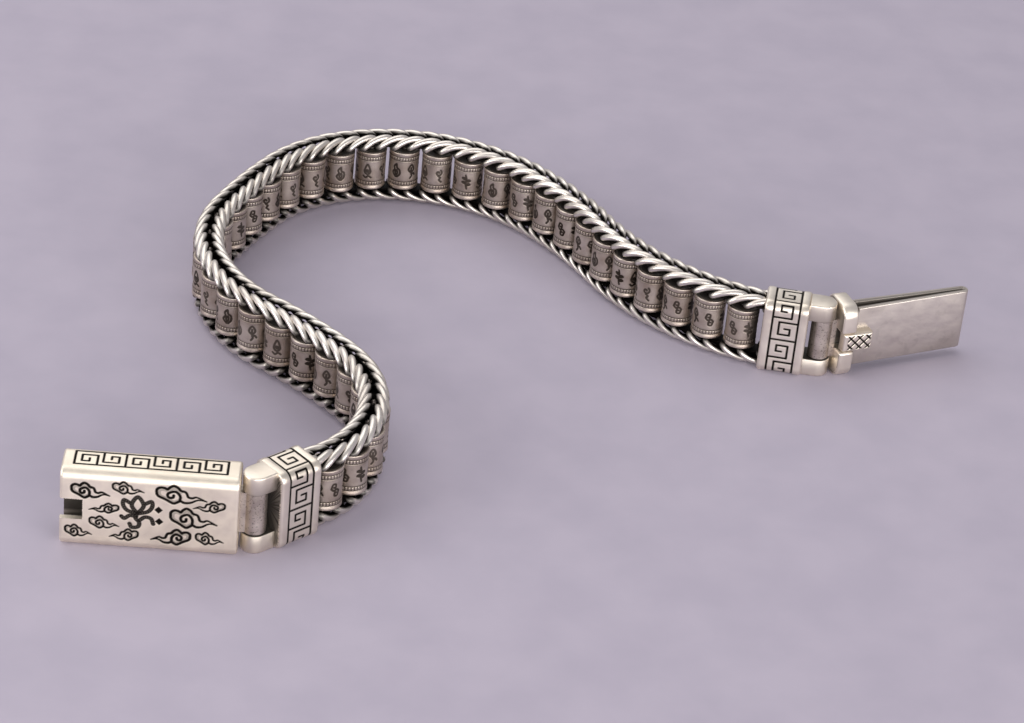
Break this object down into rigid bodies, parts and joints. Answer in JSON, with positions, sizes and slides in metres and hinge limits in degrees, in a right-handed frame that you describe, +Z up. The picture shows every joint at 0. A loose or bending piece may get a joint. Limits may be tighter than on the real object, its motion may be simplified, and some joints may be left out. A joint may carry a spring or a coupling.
{
  "type": "prayer wheel bracelet",
  "caption": "Bracelet of small spinning prayer wheels carried on pins between two braided chains, with a hinged box clasp and a hinged spring tongue.",
  "frame": {"origin": "middle of the whole object's box, on the surface it lies on", "axes": "+X from the box towards the tongue, +Z up along the wheels' pins"},
  "size_m": [0.0992, 0.0844, 0.0096],
  "materials": {
    "box_silver": "satin silver with blackened engraving",
    "cap_silver": "polished silver with blackened grooves",
    "cast_silver": "rough cast silver, tarnished",
    "leaf_silver": "rolled silver sheet with a fine grain",
    "braid_silver": "polished silver wire, blackened between the strands",
    "wheel_silver": "tarnished silver with blackened engraving"
  },
  "bodies": {
    "box": {"box_shell": "box_silver", "box_knuckle": "cast_silver"},
    "box_end": {"box_side_cap": "cap_silver", "box_hinge_pin": "cast_silver", "braid_pair_01": "braid_silver"},
    "run_02": {"braid_pair_02": "braid_silver"},
    "run_03": {"braid_pair_03": "braid_silver"},
    "run_04": {"braid_pair_04": "braid_silver"},
    "run_05": {"braid_pair_05": "braid_silver"},
    "run_06": {"braid_pair_06": "braid_silver"},
    "run_07": {"braid_pair_07": "braid_silver"},
    "run_08": {"braid_pair_08": "braid_silver"},
    "run_09": {"braid_pair_09": "braid_silver"},
    "run_10": {"braid_pair_10": "braid_silver"},
    "run_11": {"braid_pair_11": "braid_silver"},
    "tongue_end": {"braid_pair_12": "braid_silver", "tongue_side_cap": "cap_silver", "tongue_hinge_pin": "cast_silver"},
    "tongue": {"tongue_knuckle": "cast_silver", "tongue_face_plate": "cap_silver", "tongue_back_leaf": "leaf_silver"},
    "spring_leaf": {"tongue_spring_leaf": "leaf_silver", "thumb_catch": "cap_silver"},
    "wheel_01": {"wheel_01": "wheel_silver"},
    "wheel_02": {"wheel_02": "wheel_silver"},
    "wheel_03": {"wheel_03": "wheel_silver"},
    "wheel_04": {"wheel_04": "wheel_silver"},
    "wheel_05": {"wheel_05": "wheel_silver"},
    "wheel_06": {"wheel_06": "wheel_silver"},
    "wheel_07": {"wheel_07": "wheel_silver"},
    "wheel_08": {"wheel_08": "wheel_silver"},
    "wheel_09": {"wheel_09": "wheel_silver"},
    "wheel_10": {"wheel_10": "wheel_silver"},
    "wheel_11": {"wheel_11": "wheel_silver"},
    "wheel_12": {"wheel_12": "wheel_silver"},
    "wheel_13": {"wheel_13": "wheel_silver"},
    "wheel_14": {"wheel_14": "wheel_silver"},
    "wheel_15": {"wheel_15": "wheel_silver"},
    "wheel_16": {"wheel_16": "wheel_silver"},
    "wheel_17": {"wheel_17": "wheel_silver"},
    "wheel_18": {"wheel_18": "wheel_silver"},
    "wheel_19": {"wheel_19": "wheel_silver"},
    "wheel_20": {"wheel_20": "wheel_silver"},
    "wheel_21": {"wheel_21": "wheel_silver"},
    "wheel_22": {"wheel_22": "wheel_silver"},
    "wheel_23": {"wheel_23": "wheel_silver"},
    "wheel_24": {"wheel_24": "wheel_silver"},
    "wheel_25": {"wheel_25": "wheel_silver"},
    "wheel_26": {"wheel_26": "wheel_silver"},
    "wheel_27": {"wheel_27": "wheel_silver"},
    "wheel_28": {"wheel_28": "wheel_silver"},
    "wheel_29": {"wheel_29": "wheel_silver"},
    "wheel_30": {"wheel_30": "wheel_silver"},
    "wheel_31": {"wheel_31": "wheel_silver"},
    "wheel_32": {"wheel_32": "wheel_silver"},
    "wheel_33": {"wheel_33": "wheel_silver"},
    "wheel_34": {"wheel_34": "wheel_silver"},
    "wheel_35": {"wheel_35": "wheel_silver"},
    "wheel_36": {"wheel_36": "wheel_silver"}
  },
  "joints": [
    {"name": "box_hinge", "type": "hinge", "parent": "box", "child": "box_end", "pos_m": [-0.02915, -0.03887, 0.0048], "axis": [0, 0, 1], "range_deg": [-101, 21]},
    {"name": "flex_01", "type": "hinge", "parent": "box_end", "child": "run_02", "pos_m": [-0.01835, -0.0229, 0.0048], "axis": [0, 0, 1], "range_deg": [-12, 24]},
    {"name": "flex_02", "type": "hinge", "parent": "run_02", "child": "run_03", "pos_m": [-0.02254, -0.01137, 0.0048], "axis": [0, 0, 1], "range_deg": [-12, 24]},
    {"name": "flex_03", "type": "hinge", "parent": "run_03", "child": "run_04", "pos_m": [-0.03203, -0.00312, 0.0048], "axis": [0, 0, 1], "range_deg": [-12, 24]},
    {"name": "flex_04", "type": "hinge", "parent": "run_04", "child": "run_05", "pos_m": [-0.03968, 0.00666, 0.0048], "axis": [0, 0, 1], "range_deg": [-6, 24]},
    {"name": "flex_05", "type": "hinge", "parent": "run_05", "child": "run_06", "pos_m": [-0.04, 0.01902, 0.0048], "axis": [0, 0, 1], "range_deg": [-6, 24]},
    {"name": "flex_06", "type": "hinge", "parent": "run_06", "child": "run_07", "pos_m": [-0.03508, 0.0306, 0.0048], "axis": [0, 0, 1], "range_deg": [-6, 24]},
    {"name": "flex_07", "type": "hinge", "parent": "run_07", "child": "run_08", "pos_m": [-0.02591, 0.03886, 0.0048], "axis": [0, 0, 1], "range_deg": [-6, 24]},
    {"name": "flex_08", "type": "hinge", "parent": "run_08", "child": "run_09", "pos_m": [-0.01354, 0.03983, 0.0048], "axis": [0, 0, 1], "range_deg": [-6, 24]},
    {"name": "flex_09", "type": "hinge", "parent": "run_09", "child": "run_10", "pos_m": [-0.00254, 0.03399, 0.0048], "axis": [0, 0, 1], "range_deg": [-6, 24]},
    {"name": "flex_10", "type": "hinge", "parent": "run_10", "child": "run_11", "pos_m": [0.00536, 0.02423, 0.0048], "axis": [0, 0, 1], "range_deg": [-6, 24]},
    {"name": "flex_11", "type": "hinge", "parent": "run_11", "child": "tongue_end", "pos_m": [0.01366, 0.01484, 0.0048], "axis": [0, 0, 1], "range_deg": [-6, 24]},
    {"name": "tongue_hinge", "type": "hinge", "parent": "tongue_end", "child": "tongue", "pos_m": [0.03216, 0.00859, 0.0048], "axis": [0, 0, 1], "range_deg": [-90, 32]},
    {"name": "leaf_press", "type": "hinge", "parent": "tongue", "child": "spring_leaf", "pos_m": [0.04893, 0.01639, 0.0048], "axis": [0, 0, -1], "range_deg": [0, 3], "stiffness_Nm_per_rad": 0.3},
    {"name": "wheel_spin_01", "type": "hinge", "parent": "box_end", "child": "wheel_01", "pos_m": [-0.02236, -0.03237, 0.0048], "axis": [0, 0, 1], "continuous": true},
    {"name": "wheel_spin_02", "type": "hinge", "parent": "box_end", "child": "wheel_02", "pos_m": [-0.01996, -0.02894, 0.0048], "axis": [0, 0, 1], "continuous": true},
    {"name": "wheel_spin_03", "type": "hinge", "parent": "box_end", "child": "wheel_03", "pos_m": [-0.0186, -0.02498, 0.0048], "axis": [0, 0, 1], "continuous": true},
    {"name": "wheel_spin_04", "type": "hinge", "parent": "run_02", "child": "wheel_04", "pos_m": [-0.01838, -0.0208, 0.0048], "axis": [0, 0, 1], "continuous": true},
    {"name": "wheel_spin_05", "type": "hinge", "parent": "run_02", "child": "wheel_05", "pos_m": [-0.01927, -0.01671, 0.0048], "axis": [0, 0, 1], "continuous": true},
    {"name": "wheel_spin_06", "type": "hinge", "parent": "run_02", "child": "wheel_06", "pos_m": [-0.02122, -0.013, 0.0048], "axis": [0, 0, 1], "continuous": true},
    {"name": "wheel_spin_07", "type": "hinge", "parent": "run_03", "child": "wheel_07", "pos_m": [-0.024, -0.00986, 0.0048], "axis": [0, 0, 1], "continuous": true},
    {"name": "wheel_spin_08", "type": "hinge", "parent": "run_03", "child": "wheel_08", "pos_m": [-0.02707, -0.007, 0.0048], "axis": [0, 0, 1], "continuous": true},
    {"name": "wheel_spin_09", "type": "hinge", "parent": "run_03", "child": "wheel_09", "pos_m": [-0.03033, -0.00436, 0.0048], "axis": [0, 0, 1], "continuous": true},
    {"name": "wheel_spin_10", "type": "hinge", "parent": "run_04", "child": "wheel_10", "pos_m": [-0.03369, -0.00184, 0.0048], "axis": [0, 0, 1], "continuous": true},
    {"name": "wheel_spin_11", "type": "hinge", "parent": "run_04", "child": "wheel_11", "pos_m": [-0.03658, 0.0012, 0.0048], "axis": [0, 0, 1], "continuous": true},
    {"name": "wheel_spin_12", "type": "hinge", "parent": "run_04", "child": "wheel_12", "pos_m": [-0.03883, 0.00474, 0.0048], "axis": [0, 0, 1], "continuous": true},
    {"name": "wheel_spin_13", "type": "hinge", "parent": "run_05", "child": "wheel_13", "pos_m": [-0.04032, 0.00866, 0.0048], "axis": [0, 0, 1], "continuous": true},
    {"name": "wheel_spin_14", "type": "hinge", "parent": "run_05", "child": "wheel_14", "pos_m": [-0.0409, 0.01281, 0.0048], "axis": [0, 0, 1], "continuous": true},
    {"name": "wheel_spin_15", "type": "hinge", "parent": "run_05", "child": "wheel_15", "pos_m": [-0.04053, 0.01699, 0.0048], "axis": [0, 0, 1], "continuous": true},
    {"name": "wheel_spin_16", "type": "hinge", "parent": "run_06", "child": "wheel_16", "pos_m": [-0.03932, 0.021, 0.0048], "axis": [0, 0, 1], "continuous": true},
    {"name": "wheel_spin_17", "type": "hinge", "parent": "run_06", "child": "wheel_17", "pos_m": [-0.03779, 0.02491, 0.0048], "axis": [0, 0, 1], "continuous": true},
    {"name": "wheel_spin_18", "type": "hinge", "parent": "run_06", "child": "wheel_18", "pos_m": [-0.03604, 0.02873, 0.0048], "axis": [0, 0, 1], "continuous": true},
    {"name": "wheel_spin_19", "type": "hinge", "parent": "run_07", "child": "wheel_19", "pos_m": [-0.03399, 0.03239, 0.0048], "axis": [0, 0, 1], "continuous": true},
    {"name": "wheel_spin_20", "type": "hinge", "parent": "run_07", "child": "wheel_20", "pos_m": [-0.03122, 0.03554, 0.0048], "axis": [0, 0, 1], "continuous": true},
    {"name": "wheel_spin_21", "type": "hinge", "parent": "run_07", "child": "wheel_21", "pos_m": [-0.0278, 0.03796, 0.0048], "axis": [0, 0, 1], "continuous": true},
    {"name": "wheel_spin_22", "type": "hinge", "parent": "run_08", "child": "wheel_22", "pos_m": [-0.02392, 0.03955, 0.0048], "axis": [0, 0, 1], "continuous": true},
    {"name": "wheel_spin_23", "type": "hinge", "parent": "run_08", "child": "wheel_23", "pos_m": [-0.0198, 0.0403, 0.0048], "axis": [0, 0, 1], "continuous": true},
    {"name": "wheel_spin_24", "type": "hinge", "parent": "run_08", "child": "wheel_24", "pos_m": [-0.01561, 0.0402, 0.0048], "axis": [0, 0, 1], "continuous": true},
    {"name": "wheel_spin_25", "type": "hinge", "parent": "run_09", "child": "wheel_25", "pos_m": [-0.01152, 0.03927, 0.0048], "axis": [0, 0, 1], "continuous": true},
    {"name": "wheel_spin_26", "type": "hinge", "parent": "run_09", "child": "wheel_26", "pos_m": [-0.00766, 0.03763, 0.0048], "axis": [0, 0, 1], "continuous": true},
    {"name": "wheel_spin_27", "type": "hinge", "parent": "run_09", "child": "wheel_27", "pos_m": [-0.00414, 0.03535, 0.0048], "axis": [0, 0, 1], "continuous": true},
    {"name": "wheel_spin_28", "type": "hinge", "parent": "run_10", "child": "wheel_28", "pos_m": [-0.00104, 0.03252, 0.0048], "axis": [0, 0, 1], "continuous": true},
    {"name": "wheel_spin_29", "type": "hinge", "parent": "run_10", "child": "wheel_29", "pos_m": [0.00175, 0.02938, 0.0048], "axis": [0, 0, 1], "continuous": true},
    {"name": "wheel_spin_30", "type": "hinge", "parent": "run_10", "child": "wheel_30", "pos_m": [0.00424, 0.026, 0.0048], "axis": [0, 0, 1], "continuous": true},
    {"name": "wheel_spin_31", "type": "hinge", "parent": "run_11", "child": "wheel_31", "pos_m": [0.0065, 0.02246, 0.0048], "axis": [0, 0, 1], "continuous": true},
    {"name": "wheel_spin_32", "type": "hinge", "parent": "run_11", "child": "wheel_32", "pos_m": [0.00908, 0.01915, 0.0048], "axis": [0, 0, 1], "continuous": true},
    {"name": "wheel_spin_33", "type": "hinge", "parent": "run_11", "child": "wheel_33", "pos_m": [0.01205, 0.01618, 0.0048], "axis": [0, 0, 1], "continuous": true},
    {"name": "wheel_spin_34", "type": "hinge", "parent": "tongue_end", "child": "wheel_34", "pos_m": [0.01536, 0.01361, 0.0048], "axis": [0, 0, 1], "continuous": true},
    {"name": "wheel_spin_35", "type": "hinge", "parent": "tongue_end", "child": "wheel_35", "pos_m": [0.019, 0.01151, 0.0048], "axis": [0, 0, 1], "continuous": true},
    {"name": "wheel_spin_36", "type": "hinge", "parent": "tongue_end", "child": "wheel_36", "pos_m": [0.02289, 0.00994, 0.0048], "axis": [0, 0, 1], "continuous": true}
  ]
}
